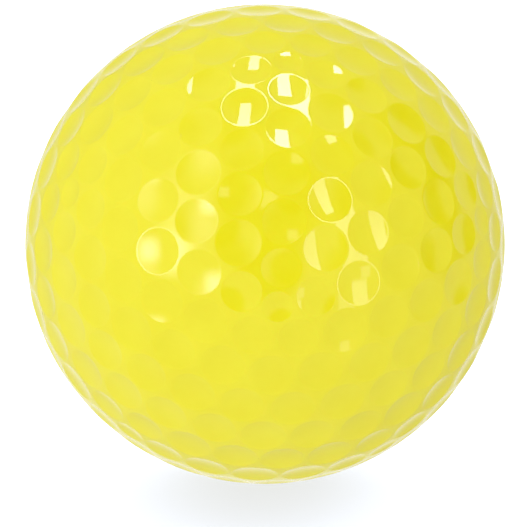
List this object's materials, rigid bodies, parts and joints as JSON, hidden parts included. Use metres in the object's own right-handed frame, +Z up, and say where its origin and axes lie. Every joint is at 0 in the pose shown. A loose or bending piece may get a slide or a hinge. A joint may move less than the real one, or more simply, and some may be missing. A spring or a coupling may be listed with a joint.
{
  "type": "golf ball",
  "caption": "Round sports ball with shallow round dimples packed all over its glossy yellow cover, over a mantle layer and a solid rubber core.",
  "frame": {"origin": "the centre of the ball", "axes": "+Z is up as the ball lies, and -Z goes down through the point that sits on a tee or the ground. -Y is the front, the side that the pole dimple of the front cover half faces, 3 degrees off towards +X. +X is to the right of someone who faces the front"},
  "size_m": [0.0426, 0.0426, 0.0426],
  "materials": {
    "cover_ionomer": "glossy clear coat over lemon-yellow ionomer",
    "mantle_ionomer": "satin, as moulded",
    "core_rubber": "matt, as cured"
  },
  "bodies": {
    "root": {"cover_half_front": "cover_ionomer", "cover_half_back": "cover_ionomer", "mantle_half_upper": "mantle_ionomer", "mantle_half_lower": "mantle_ionomer", "core": "core_rubber"}
  },
  "joints": []
}
